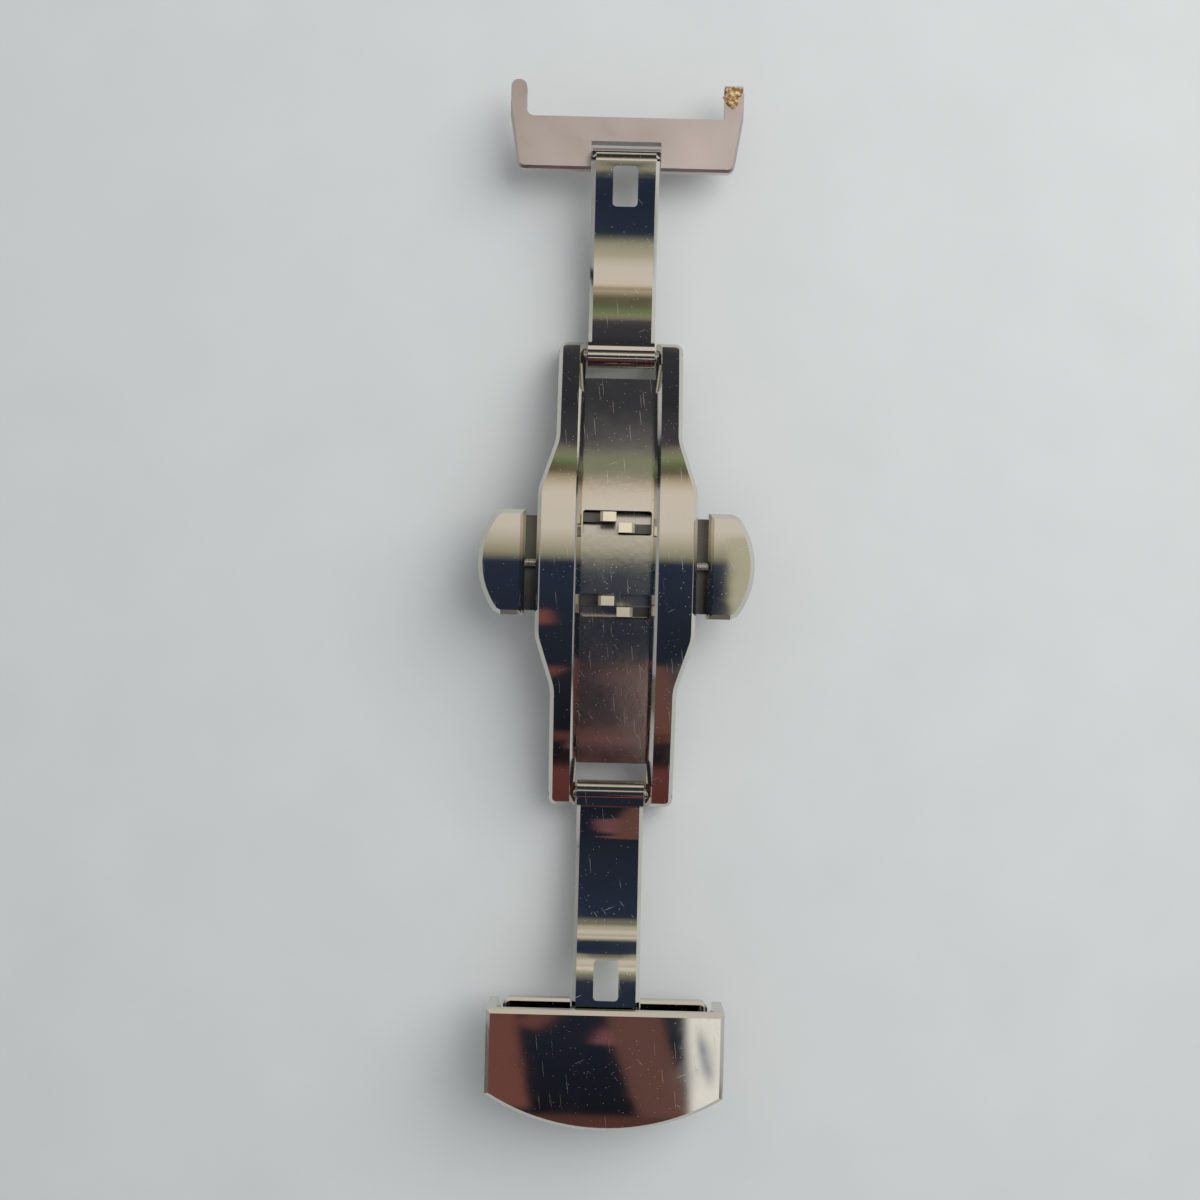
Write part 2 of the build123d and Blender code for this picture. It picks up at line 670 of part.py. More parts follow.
# Cover of the lower end piece: a crowned shell, open towards the arm and towards the strap
cover_near_y = lower_end_y + cover_near_overhang
cover_side_y = cover_near_y - cover_side_length
cover_tip_y = cover_side_y - cover_arc_rise
cover_bottom = lower_end_z - clamp_thickness / 2
cover_top = cover_bottom + cover_height
crown_y = (cover_near_y + cover_tip_y) / 2
crown_plane = Plane(origin=(-cover_half_width, crown_y, cover_top - cover_crown_radius),
                    x_dir=(0, 1, 0), z_dir=(1, 0, 0))
with BuildPart() as lower_cover:
    with BuildSketch(Plane.XY.offset(cover_bottom)):
        with BuildLine():
            Polyline(
                (-cover_half_width, cover_side_y),
                (-cover_half_width, cover_near_y),
                (cover_half_width, cover_near_y),
                (cover_half_width, cover_side_y),
            )
            ThreePointArc((cover_half_width, cover_side_y), (0, cover_tip_y),
                          (-cover_half_width, cover_side_y))
        make_face()
    extrude(amount=cover_height)
    with BuildSketch(crown_plane):
        Circle(cover_crown_radius)
    extrude(amount=2 * cover_half_width, mode=Mode.INTERSECT)
    top_face = lower_cover.faces().filter_by(GeomType.CYLINDER).sort_by(Axis.Z)[-1]
    chamfer(top_face.edges(), cover_edge_bevel)
    inner_half_width = cover_half_width - cover_wall
    with BuildSketch(crown_plane.offset(cover_wall)):
        Circle(cover_crown_radius - cover_wall)
        with Locations((0, cover_crown_radius - cover_wall)):
            Rectangle(4 * cover_half_width, 2 * cover_height, mode=Mode.INTERSECT)
    extrude(amount=2 * inner_half_width, mode=Mode.SUBTRACT)
    with BuildSketch(Plane.XY.offset(cover_bottom - overrun)):
        with Locations((0, cover_side_y - cover_arc_rise)):
            Rectangle(2 * (cover_half_width + overrun), 2 * cover_arc_rise)
    extrude(amount=cover_height - 2 * cover_wall + overrun, mode=Mode.SUBTRACT)

pivot_y = lower_end_y - notch_depth - lower_web_length - lower_ear_length + ear_width / 2
catch_z = lower_end_z
post_y = lower_end_y - notch_depth - lower_web_length / 2
post_sag = (abs(post_y - crown_y) + strap_post_radius) ** 2 / cover_crown_radius
cover_inner_z = cover_top - cover_wall - post_sag
with BuildPart() as pivot_holes:
    with BuildSketch(side_plane(-cover_half_width, pivot_y, lower_end_z)):
        Circle(pivot_radius)
    extrude(amount=2 * cover_half_width)
with BuildPart() as catch_holes:
    with BuildSketch(side_plane(-cover_half_width, lower_end_y, catch_z)):
        Circle(catch_pin_radius)
    extrude(amount=2 * cover_half_width)
lower_cover.part = lower_cover.part - pivot_holes.part - catch_holes.part

# Pins of the cover's hinge, pressed into its walls and free in the plate's ears
with BuildPart() as cover_pivot_pins:
    for side in (-1, 1):
        inner_x = lower_clamp_half_width - ear_width / 2
        pin_start = inner_x if side > 0 else -cover_half_width
        with BuildSketch(side_plane(pin_start, pivot_y, lower_end_z)):
            Circle(pivot_radius)
        extrude(amount=cover_half_width - inner_x)

with BuildPart() as cover_catch_pins:
    for side in (-1, 1):
        inner_x = cover_half_width - cover_wall - catch_pin_proud
        outer_x = cover_half_width + catch_pin_proud
        with BuildSketch(side_plane(inner_x if side > 0 else -outer_x, lower_end_y, catch_z)):
            Circle(catch_pin_radius)
        extrude(amount=outer_x - inner_x)

with BuildPart() as strap_post:
    post_low = lower_end_z + clamp_thickness / 2 + strap_post_tip_gap
    with BuildSketch(Plane(origin=(0, post_y, post_low))):
        Circle(strap_post_radius)
    extrude(amount=cover_inner_z - post_low)
    chamfer(strap_post.edges().filter_by(GeomType.CIRCLE).sort_by(Axis.Z)[0], strap_post_tip_bevel)

pieces = {
    "centre_frame": centre_frame,
    "back_cover": back_cover,
    "cover_rivets": cover_rivets,
    "upper_arm": upper_arm,
    "lower_arm": lower_arm,
    "upper_frame_hinge_pin": upper_frame_hinge_pin,
    "lower_frame_hinge_pin": lower_frame_hinge_pin,
    "upper_end_hinge_pin": upper_end_hinge_pin,
    "lower_end_hinge_pin": lower_end_hinge_pin,
    "upper_clamp_plate": upper_clamp_plate,
    "lower_clamp_plate": lower_clamp_plate,
    "lower_cover": lower_cover,
    "cover_pivot_pins": cover_pivot_pins,
    "cover_catch_pins": cover_catch_pins,
    "strap_post": strap_post,
    "left_latch_plate": left_latch_plate,
    "right_latch_plate": right_latch_plate,
    "left_button_pad": left_button_pad,
    "right_button_pad": right_button_pad,
    "left_guide_rod": left_guide_rod,
    "right_guide_rod": right_guide_rod,
    "left_return_spring": left_return_spring,
    "right_return_spring": right_return_spring,
}
for label, piece in pieces.items():
    piece.part.label = label
    export_step(piece.part, f"parts/{label}.step")
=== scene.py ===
"""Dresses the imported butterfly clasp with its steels, wear and studio."""

import logging
import math
import random
from dataclasses import dataclass, field
from enum import Enum
from typing import Any

import bmesh
import bpy
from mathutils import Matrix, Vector


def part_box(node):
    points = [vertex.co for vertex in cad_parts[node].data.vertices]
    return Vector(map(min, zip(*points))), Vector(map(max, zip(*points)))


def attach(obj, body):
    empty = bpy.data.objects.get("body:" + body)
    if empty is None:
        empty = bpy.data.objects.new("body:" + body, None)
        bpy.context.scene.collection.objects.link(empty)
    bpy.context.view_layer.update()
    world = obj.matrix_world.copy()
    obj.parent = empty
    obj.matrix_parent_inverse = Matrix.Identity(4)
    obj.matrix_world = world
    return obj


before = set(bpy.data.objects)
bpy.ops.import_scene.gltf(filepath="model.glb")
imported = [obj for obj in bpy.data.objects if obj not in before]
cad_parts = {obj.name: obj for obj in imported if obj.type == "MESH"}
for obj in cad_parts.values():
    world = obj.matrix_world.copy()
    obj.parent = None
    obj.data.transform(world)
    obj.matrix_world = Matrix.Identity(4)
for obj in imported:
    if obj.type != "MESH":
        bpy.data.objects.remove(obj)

Tree = bpy.types.NodeTree
Socket = bpy.types.NodeSocket

LOG = logging.getLogger("clasp")
MM = 0.001
# Width of the picture that the focal length in pixels belongs to.
PICTURE_WIDTH = 1200
# Width of one band of Blender's wave texture at scale 1.
WAVE_PERIOD = 0.314
# Stretch in millimetres that makes a scratch the same at every height of the clasp.
SCRATCH_DEPTH = 400.0


class StagePart(Enum):
    """The pieces that stand round the clasp and are not part of it."""

    FLOOR = "paper_floor"
    CARD = "reflection_card"


def linear(code: str) -> tuple[float, float, float, float]:
    """Turns an sRGB hex colour into Blender's linear colour.

    Args:
        code: The colour as six hex digits after a hash sign.

    Returns:
        The linear red, green and blue with an alpha of 1.
    """
    shades = [int(code[i:i + 2], 16) / 255 for i in (1, 3, 5)]
    red, green, blue = (
        shade / 12.92 if shade <= 0.04045 else ((shade + 0.055) / 1.055) ** 2.4 for shade in shades
    )
    return red, green, blue, 1.0


def add_node(
    tree: Tree,
    kind: str,
    settings: dict[Any, Any] | None = None,
    links: dict[Any, Socket] | None = None,
) -> bpy.types.Node:
    """Adds one node with its settings and links.

    Args:
        tree: The node tree that gets the node.
        kind: The node's type name.
        settings: Lower-case names set the node's properties, others its input sockets.
        links: The output socket that feeds each input socket.

    Returns:
        The new node.
    """
    node = tree.nodes.new(kind)
    for key, value in (settings or {}).items():
        if isinstance(key, str) and key.islower():
            setattr(node, key, value)
        else:
            node.inputs[key].default_value = value
    for key, source in (links or {}).items():
        tree.links.new(source, node.inputs[key])
    return node


def calculate(tree: Tree, operation: str, *operands: float | Socket, clamp: bool = False) -> Socket:
    """Adds a sum on numbers and sockets.

    Args:
        tree: The node tree.
        operation: Blender's name of the operation.
        operands: The numbers and sockets that it takes, in order.
        clamp: Whether the result is held between 0 and 1.

    Returns:
        The result.
    """
    settings: dict[Any, Any] = {"operation": operation, "use_clamp": clamp}
    links: dict[Any, Socket] = {}
    for index, operand in enumerate(operands):
        if isinstance(operand, Socket):
            links[index] = operand
        else:
            settings[index] = operand
    return add_node(tree, "ShaderNodeMath", settings, links).outputs["Value"]


def map_range(
    tree: Tree,
    value: Socket,
    source: tuple[float, float],
    target: tuple[float, float] = (0.0, 1.0),
    interpolation: str = "LINEAR",
) -> Socket:
    """Maps a value from one range to another and holds it there.

    Args:
        tree: The node tree.
        value: The value.
        source: The values that give the two ends of the target.
        target: The two ends of the new range.
        interpolation: How the value goes from one end to the other.

    Returns:
        The mapped value.
    """
    settings = {
        "interpolation_type": interpolation,
        "From Min": source[0], "From Max": source[1], "To Min": target[0], "To Max": target[1],
    }
    return add_node(tree, "ShaderNodeMapRange", settings, {"Value": value}).outputs["Result"]


def add_noise(tree: Tree, where: Socket, per_mm: float, detail: float, roughness: float = 0.5) -> Socket:
    """Adds a cloudy noise.

    Args:
        tree: The node tree.
        where: Coordinates in millimetres.
        per_mm: Clouds in one millimetre.
        detail: Number of finer layers.
        roughness: Share that each finer layer keeps.

    Returns:
        The noise, from 0 to 1.
    """
    settings = {"Scale": per_mm, "Detail": detail, "Roughness": roughness}
    return add_node(tree, "ShaderNodeTexNoise", settings, {"Vector": where}).outputs["Fac"]


def add_bump(tree: Tree, height: Socket, depth: float, below: Socket | None = None) -> Socket:
    """Adds relief to the surface normal.

    Args:
        tree: The node tree.
        height: The relief, from 0 to 1.
        depth: Its depth in millimetres.
        below: The normal that it lies on, or None for the bare face.

    Returns:
        The new normal.
    """
    links = {"Height": height}
    if below is not None:
        links["Normal"] = below
    settings = {"Strength": 1.0, "Distance": depth * MM}
    return add_node(tree, "ShaderNodeBump", settings, links).outputs["Normal"]


def mix_colours(tree: Tree, share: Socket, below: str | Socket, above: str) -> Socket:
    """Lays one colour over another.

    Args:
        tree: The node tree.
        share: Share of the upper colour.
        below: The lower colour, as a hex code or a socket.
        above: The upper colour, as a hex code.

    Returns:
        The mixed colour.
    """
    settings: dict[Any, Any] = {"data_type": "RGBA", 7: linear(above)}
    links: dict[Any, Socket] = {0: share}
    if isinstance(below, str):
        settings[6] = linear(below)
    else:
        links[6] = below
    return add_node(tree, "ShaderNodeMix", settings, links).outputs[2]


def pick_axis(tree: Tree, vector: Socket, axis: str) -> Socket:
    """Takes one coordinate out of a vector.

    Args:
        tree: The node tree.
        vector: The vector.
        axis: X, Y or Z.

    Returns:
        The coordinate.
    """
    return add_node(tree, "ShaderNodeSeparateXYZ", None, {"Vector": vector}).outputs[axis]


def new_material(name: str) -> tuple[bpy.types.Material, Tree]:
    """Makes an empty node material.

    Args:
        name: The material's name.

    Returns:
        The material and its node tree.
    """
    material = bpy.data.materials.new(name)
    material.use_nodes = True
    material.node_tree.nodes.clear()
    return material, material.node_tree


def end_material(
    tree: Tree,
    settings: dict[Any, Any],
    links: dict[Any, Socket],
    kind: str = "ShaderNodeBsdfPrincipled",
) -> None:
    """Ends a material with its shader and its output.

    Args:
        tree: The material's node tree.
        settings: The shader's constants.
        links: The sockets that feed the shader.
        kind: The shader's type name.
    """
    shader = add_node(tree, kind, settings, links)
    add_node(tree, "ShaderNodeOutputMaterial", None, {"Surface": shader.outputs[0]})


def millimetre_coordinates(tree: Tree) -> Socket:
    """Adds the object coordinates in millimetres.

    Args:
        tree: The node tree.

    Returns:
        The coordinates.
    """
    place = add_node(tree, "ShaderNodeTexCoord")
    scale = {"Scale": (1 / MM, 1 / MM, 1 / MM)}
    return add_node(tree, "ShaderNodeMapping", scale, {"Vector": place.outputs["Object"]}).outputs["Vector"]


@dataclass(frozen=True)
class Scratches:
    """Straight hairline scratches lying in one direction.

    Attributes:
        angle: Direction of the scratches in degrees.
        length: Spacing along a scratch in millimetres.
        spacing: Spacing across the scratches in millimetres.
        share: Share of the places that hold a scratch.
        edge: Distances from a scratch's middle where it starts and where it is full, as shares
            of the spacing.
    """

    angle: float
    length: float
    spacing: float
    share: float
    edge: tuple[float, float] = (0.16, 0.10)

    def mask(self, tree: Tree, where: Socket) -> Socket:
        """Draws the scratches.

        Args:
            tree: The material's node tree.
            where: Coordinates in millimetres.

        Returns:
            A mask that is 1 on a scratch and 0 beside it.
        """
        turned = add_node(
            tree,
            "ShaderNodeMapping",
            {"vector_type": "TEXTURE", "Rotation": (0.0, 0.0, math.radians(self.angle)),
             "Scale": (self.length, self.spacing, SCRATCH_DEPTH)},
            {"Vector": where},
        )
        cells = add_node(tree, "ShaderNodeTexVoronoi", {"Scale": 1.0}, {"Vector": turned.outputs["Vector"]})
        line = map_range(tree, cells.outputs["Distance"], self.edge)
        chosen = calculate(tree, "LESS_THAN", cells.outputs["Color"], self.share)
        return calculate(tree, "MULTIPLY", line, chosen)


@dataclass(frozen=True)
class PolishedSteel:
    """Stainless steel, stamped and buffed to a mirror, then worn on a wrist.

    The buffing gives sharp reflections that swim a little, and the wear gives hairlines and specks.

    Attributes:
        name: The material's name.
        colour: Colour of the bare metal.
        roughness: Roughness between the scratches.
        smear_haze: Roughness that the faint smears add.
        smears_per_mm: Smears in one millimetre.
        smear_range: Noise between which a smear goes from clear to full.
        ripple_height: Depth of the buffed waves in millimetres.
        ripple_width: Width of the buffed waves in millimetres.
        peel_half_width: Half width of the channel whose floor has a cast skin, or 0 for none.
        peel_edge: Width in millimetres over which that skin fades in.
        peel_per_mm: Grains of that skin in one millimetre.
        peel_height: Depth of that skin in millimetres.
        peel_haze: Roughness that the skin adds.
        wear: How strongly the hairlines show.
        specks_per_mm: Places for a speck in one millimetre.
        speck_edge: Distances from a speck's middle where it starts and where it is full, as shares
            of such a place.
        speck_strength: How strongly a speck shows beside a hairline.
        bow: Tilt in radians of the face's normal towards +y, at places in millimetres along y.
        hairlines: The scratches, drawn about 0.03 mm wide so that they show.
    """

    name: str
    colour: str = "#D6D1CA"
    roughness: float = 0.036
    smear_haze: float = 0.035
    smears_per_mm: float = 0.35
    smear_range: tuple[float, float] = (0.35, 0.7)
    ripple_height: float = 0.004
    ripple_width: float = 4.0
    peel_half_width: float = 0.0
    peel_edge: float = 0.1
    peel_per_mm: float = 1.9
    peel_height: float = 0.0035
    peel_haze: float = 0.09
    wear: float = 0.30
    specks_per_mm: float = 2.9
    speck_edge: tuple[float, float] = (0.12, 0.07)
    speck_strength: float = 0.8
    bow: tuple[tuple[float, float], ...] = ()
    hairlines: tuple[Scratches, ...] = (
        Scratches(24.0, 3.2, 0.09, 0.13),
        Scratches(-52.0, 2.6, 0.08, 0.12),
        Scratches(96.0, 5.0, 0.08, 0.34),
    )

    def make(self) -> bpy.types.Material:
        """Builds the material.

        Returns:
            The finished material.
        """
        material, tree = new_material(self.name)
        where = millimetre_coordinates(tree)
        rough = self.worn(tree, where)
        relief = self.bowed(tree, where) if self.bow else None
        waves = add_noise(tree, where, 1 / self.ripple_width, detail=1.0)
        relief = add_bump(tree, waves, self.ripple_height, relief)
        if self.peel_half_width:
            inside = self.channel(tree, where)
            skin = add_noise(tree, where, self.peel_per_mm, detail=4.0)
            masked = calculate(tree, "MULTIPLY", skin, inside)
            relief = add_bump(tree, masked, self.peel_height, relief)
            rough = calculate(tree, "MULTIPLY_ADD", inside, self.peel_haze, rough)
        end_material(
            tree,
            {"Base Color": linear(self.colour), "Metallic": 1.0},
            {"Roughness": rough, "Normal": relief},
        )
        return material

    def worn(self, tree: Tree, where: Socket) -> Socket:
        """Roughens the buffed face with smears, hairlines and specks.

        Args:
            tree: The material's node tree.
            where: Coordinates in millimetres.

        Returns:
            The roughness of the worn face.
        """
        cells = add_node(tree, "ShaderNodeTexVoronoi", {"Scale": self.specks_per_mm}, {"Vector": where})
        marks = map_range(tree, cells.outputs["Distance"], self.speck_edge, (0.0, self.speck_strength))
        for direction in self.hairlines:
            marks = calculate(tree, "MAXIMUM", marks, direction.mask(tree, where))
        smear = add_noise(tree, where, self.smears_per_mm, detail=5.0, roughness=0.6)
        base = map_range(tree, smear, self.smear_range, (self.roughness, self.roughness + self.smear_haze))
        return calculate(tree, "MULTIPLY_ADD", marks, self.wear, base, clamp=True)

    def bowed(self, tree: Tree, where: Socket) -> Socket:
        """Rolls the face a little along y, as stamping leaves it near a knuckle.

        Args:
            tree: The material's node tree.
            where: Coordinates in millimetres.

        Returns:
            The normal of the rolled face.
        """
        heights = [0.0]
        for (y0, tilt0), (y1, tilt1) in zip(self.bow, self.bow[1:]):
            heights.append(heights[-1] - (tilt0 + tilt1) / 2 * (y1 - y0))
        low, span = min(heights), max(heights) - min(heights)
        start, end = self.bow[0][0], self.bow[-1][0]
        share = map_range(tree, pick_axis(tree, where, "Y"), (start, end))
        roll = add_node(tree, "ShaderNodeFloatCurve", None, {"Value": share})
        points = roll.mapping.curves[0].points
        for index, ((place, _), height) in enumerate(zip(self.bow, heights)):
            at = ((place - start) / (end - start), (height - low) / span)
            # A new curve already holds two points.
            point = points[index] if index < 2 else points.new(*at)
            point.location = at
        roll.mapping.update()
        return add_bump(tree, roll.outputs["Value"], span)

    def channel(self, tree: Tree, where: Socket) -> Socket:
        """Marks the channel between the rails.

        Args:
            tree: The material's node tree.
            where: Coordinates in millimetres.

        Returns:
            A mask that is 1 inside the channel and 0 beside it.
        """
        aside = calculate(tree, "ABSOLUTE", pick_axis(tree, where, "X"))
        return map_range(tree, aside, (self.peel_half_width, self.peel_half_width - self.peel_edge))


@dataclass(frozen=True)
class BlastedSteel:
    """Stainless steel left satin from a fine blast or from the press.

    The matt grain spreads the light, so the face reads as one soft tone with faint clouds.

    Attributes:
        name: The material's name.
        colour: Colour of most of the face.
        cloud_colour: Colour of the faint clouds.
        clouds_per_mm: Clouds in one millimetre.
        cloud_range: Noise between which a cloud goes from clear to full.
        roughness: Roughness of the grain.
        cloud_haze: Roughness that the face between clouds and in a cloud adds.
        grain: Grain size in millimetres, drawn coarser than the real grit so that it shows.
        grain_height: Depth of the grain in millimetres.
        head_height: Height in millimetres above which the hook heads get a painted highlight, or 0 for none.
        head_edge: Height in millimetres over which that painted highlight fades in.
        head_highlight_colour: Colour of the painted highlight on the heads.
        head_roughness: Roughness of the heads.
    """

    name: str
    colour: str
    cloud_colour: str
    clouds_per_mm: float = 0.3
    cloud_range: tuple[float, float] = (0.3, 0.7)
    roughness: float = 0.38
    cloud_haze: tuple[float, float] = (-0.05, 0.08)
    grain: float = 0.16
    grain_height: float = 0.004
    head_height: float = 0.0
    head_edge: float = 0.15
    head_highlight_colour: str = "#F2E8D4"
    head_roughness: float = 0.42

    def make(self) -> bpy.types.Material:
        """Builds the material.

        Returns:
            The finished material.
        """
        material, tree = new_material(self.name)
        where = millimetre_coordinates(tree)
        clouds = add_noise(tree, where, self.clouds_per_mm, detail=6.0)
        colour = mix_colours(tree, clouds, self.colour, self.cloud_colour)
        clear, full = (self.roughness + haze for haze in self.cloud_haze)
        rough = map_range(tree, clouds, self.cloud_range, (clear, full))
        # Paints a highlight on the hook heads: above head_height the colour turns pale.
        if self.head_height:
            height = pick_axis(tree, where, "Z")
            head_highlight_share = map_range(tree, height, (self.head_height, self.head_height + self.head_edge))
            colour = mix_colours(tree, head_highlight_share, colour, self.head_highlight_colour)
            rough = add_node(
                tree,
                "ShaderNodeMix",
                {"data_type": "FLOAT", 3: self.head_roughness},
                {0: head_highlight_share, 2: rough},
            ).outputs[0]
        grit = add_noise(tree, where, 1 / self.grain, detail=2.0)
        relief = add_bump(tree, grit, self.grain_height)
        end_material(tree, {"Metallic": 1.0}, {"Base Color": colour, "Roughness": rough, "Normal": relief})
        return material


@dataclass(frozen=True)
class TurnedSteel:
    """Stainless steel rod, turned or drawn, with fine rings round its length.

    The rings stretch each highlight along the pin.

    Attributes:
        name: The material's name.
        colour: Colour of the bare metal.
        pitch: Distance between two rings in millimetres.
        wander: How far the rings stray from straight.
        ring_height: Depth of the rings in millimetres.
        roughness: Roughness on the rings.
        groove_haze: Roughness that the grooves between them add.
    """

    name: str
    colour: str = "#BDB8B1"
    pitch: float = 0.12
    wander: float = 0.6
    ring_height: float = 0.003
    roughness: float = 0.22
    groove_haze: float = 0.15

    def make(self) -> bpy.types.Material:
        """Builds the material.

        Returns:
            The finished material.
        """
        material, tree = new_material(self.name)
        rings = add_node(
            tree,
            "ShaderNodeTexWave",
            {"wave_type": "BANDS", "bands_direction": "X", "Scale": WAVE_PERIOD / self.pitch,
             "Distortion": self.wander, "Detail": 2.0},
            {"Vector": millimetre_coordinates(tree)},
        ).outputs["Fac"]
        rough = map_range(tree, rings, (0.0, 1.0), (self.roughness, self.roughness + self.groove_haze))
        end_material(
            tree,
            {"Base Color": linear(self.colour), "Metallic": 1.0},
            {"Roughness": rough, "Normal": add_bump(tree, rings, self.ring_height)},
        )
        return material


@dataclass(frozen=True)
class DriedGlue:
    """Dried glue and grime left where the missing cover was pinned.

    It is matt and crumbly, golden brown with pale crumbs.

    Attributes:
        name: The material's name.
        colour: Colour of the brown glue.
        crumb_colour: Colour of its pale crumbs.
        crumbs_per_mm: Crumbs in one millimetre.
        crumb_range: Noise between which the colour goes from glue to crumb.
        crumb_height: Depth of the crumbs in millimetres.
        roughness: Roughness of the dry face.
    """

    name: str = "dried_glue"
    colour: str = "#8E5F28"
    crumb_colour: str = "#E3CC98"
    crumbs_per_mm: float = 3.2
    crumb_range: tuple[float, float] = (0.45, 0.62)
    crumb_height: float = 0.06
    roughness: float = 0.6

    def make(self) -> bpy.types.Material:
        """Builds the material.

        Returns:
            The finished material.
        """
        material, tree = new_material(self.name)
        crumbs = add_noise(tree, millimetre_coordinates(tree), self.crumbs_per_mm, detail=5.0)
        pale = map_range(tree, crumbs, self.crumb_range)
        colour = mix_colours(tree, pale, self.colour, self.crumb_colour)
        end_material(
            tree,
            {"Roughness": self.roughness},
            {"Base Color": colour, "Normal": add_bump(tree, crumbs, self.crumb_height)},
        )
        return material


@dataclass(frozen=True)
class PaperFloor:
    """Pale uncoated paper, pressed smooth, with a faint fibre cloud.

    It is matt, so it shows the clasp's soft shadow and no reflection.

    Attributes:
        name: The material's name.
        colour: Colour of most of the paper.
        shade: Colour of its faint clouds.
        clouds_per_mm: Clouds in one millimetre.
        roughness: Roughness of the paper.
    """

    name: str = "pressed_paper"
    colour: str = "#DFE1DF"
    shade: str = "#D5D8D6"
    clouds_per_mm: float = 0.12
    roughness: float = 0.85

    def make(self) -> bpy.types.Material:
        """Builds the material.

        Returns:
            The finished material.
        """
        material, tree = new_material(self.name)
        fibre = add_noise(tree, millimetre_coordinates(tree), self.clouds_per_mm, detail=8.0)
        colour = mix_colours(tree, fibre, self.colour, self.shade)
        end_material(tree, {"Roughness": self.roughness}, {"Base Color": colour})
        return material


@dataclass(frozen=True)
class Patch:
    """One block of painted reflection colour with soft edges, laid on the card.

    Attributes:
        place: Its middle in millimetres, across and along the card.
        half: Half its width and half its length in millimetres.
        colour: Its colour.
        turn: Its turn in degrees, anticlockwise.
        soft: Widths in millimetres of its soft edges, across and along.
    """

    place: tuple[float, float]
    half: tuple[float, float]
    colour: str
    turn: float
    soft: tuple[float, float]

    def paint(self, tree: Tree, where: Socket, below: Socket) -> Socket:
        """Lays the patch over the colours below it.

        Args:
            tree: The card's node tree.
            where: Place on the card in millimetres.
            below: The colours that it covers.

        Returns:
            The colours with the patch on them.
        """
        turned = add_node(
            tree,
            "ShaderNodeMapping",
            {"vector_type": "TEXTURE", "Location": (*self.place, 0.0),
             "Rotation": (0.0, 0.0, math.radians(self.turn))},
            {"Vector": where},
        ).outputs["Vector"]
        across, along = (
            map_range(
                tree,
                calculate(tree, "ABSOLUTE", pick_axis(tree, turned, axis)),
                (half, half - soft),
                interpolation="SMOOTHSTEP",
            )
            for axis, half, soft in zip("XY", self.half, self.soft)
        )
        return mix_colours(tree, calculate(tree, "MULTIPLY", across, along), below, self.colour)


@dataclass(frozen=True)
class CardPattern:
    """The soft bands and patches of painted reflection on a bent glowing card that the polished faces
    mirror.

    Attributes:
        name: The material's name.
        bands: Place in millimetres along the card from its middle, and colour, of each band.
        reach: Half length in millimetres that the bands span.
        patches: The patches, each laid over the ones before it.
    """

    name: str = "painted_reflection_card"
    bands: tuple[tuple[float, str], ...] = (
        (-570.0, "#6F6C64"), (-556.0, "#57544C"), (-553.0, "#C4BFA8"), (-543.0, "#BDB8A2"),
        (-538.0, "#1C2233"), (-190.0, "#2A2024"), (-168.0, "#5C3634"), (-128.0, "#6A3D3A"),
        (-120.0, "#251B20"), (-96.0, "#171A22"), (-24.0, "#262D3B"), (9.5, "#2C3649"), (12.5, "#93937C"),
        (18.0, "#B9B59F"), (27.0, "#E3DCCF"), (50.0, "#E6DED1"), (55.0, "#C9BCA2"), (59.5, "#AD9C7F"),
        (61.5, "#2C3123"), (64.0, "#3C4530"), (67.0, "#7F8B60"), (71.0, "#8B9870"), (73.0, "#E2DBBA"),
        (75.5, "#5B5656"), (84.0, "#45454A"), (112.0, "#34353B"), (172.0, "#3A3B41"), (200.0, "#A9A893"),
        (270.0, "#D8D4C4"), (505.0, "#DAD6C8"), (522.0, "#6D717C"), (536.0, "#1E232F"),
    )
    reach: float = 600.0
    patches: tuple[Patch, ...] = (
        Patch((-11.0, -19.5), (3.4, 4.6), "#87544D", 6.0, (2.0, 2.4)),
        Patch((2.8, -56.0), (4.4, 4.2), "#7E545A", -14.0, (2.4, 2.6)),
        Patch((1.0, -103.0), (8.0, 6.0), "#8A5C5E", -12.0, (3.0, 3.0)),
        Patch((-16.6, -66.0), (6.2, 26.0), "#784E47", 3.0, (1.8, 5.0)),
        Patch((-9.0, -50.0), (3.0, 4.4), "#6F4943", -32.0, (1.8, 2.4)),
        Patch((8.2, -70.0), (5.0, 26.0), "#6C4D47", 7.0, (1.6, 4.0)),
        Patch((0.0, -96.0), (22.0, 6.0), "#5A3C36", 0.0, (3.0, 4.5)),
        Patch((42.6, -84.0), (29.0, 44.0), "#FFFFFA", 2.0, (1.8, 6.0)),
        Patch((16.4, -64.0), (1.1, 15.0), "#5D6B84", 5.0, (1.0, 11.0)),
        Patch((47.5, 2.0), (30.0, 24.0), "#C3C2AA", 0.0, (1.2, 3.0)),
    )

    def make(self) -> bpy.types.Material:
        """Builds the glowing card material.

        Returns:
            The finished material.
        """
        material, tree = new_material(self.name)
        chart = add_node(tree, "ShaderNodeUVMap", {"uv_map": "card_length"})
        where = add_node(
            tree, "ShaderNodeMapping", {"Scale": (1 / MM, 1 / MM, 1.0)}, {"Vector": chart.outputs["UV"]}
        ).outputs["Vector"]
        along = map_range(tree, pick_axis(tree, where, "Y"), (-self.reach, self.reach))
        ramp = add_node(tree, "ShaderNodeValToRGB", None, {"Fac": along})
        stops = ramp.color_ramp.elements
        for index, (place, code) in enumerate(self.bands):
            share = (place + self.reach) / (2 * self.reach)
            # A new ramp already holds two stops.
            stop = stops[index] if index < 2 else stops.new(share)
            stop.position = share
            stop.color = linear(code)
        colour = ramp.outputs["Color"]
        for patch in self.patches:
            colour = patch.paint(tree, where, colour)
        end_material(tree, {"Strength": 1.0}, {"Color": colour}, "ShaderNodeEmission")
        return material


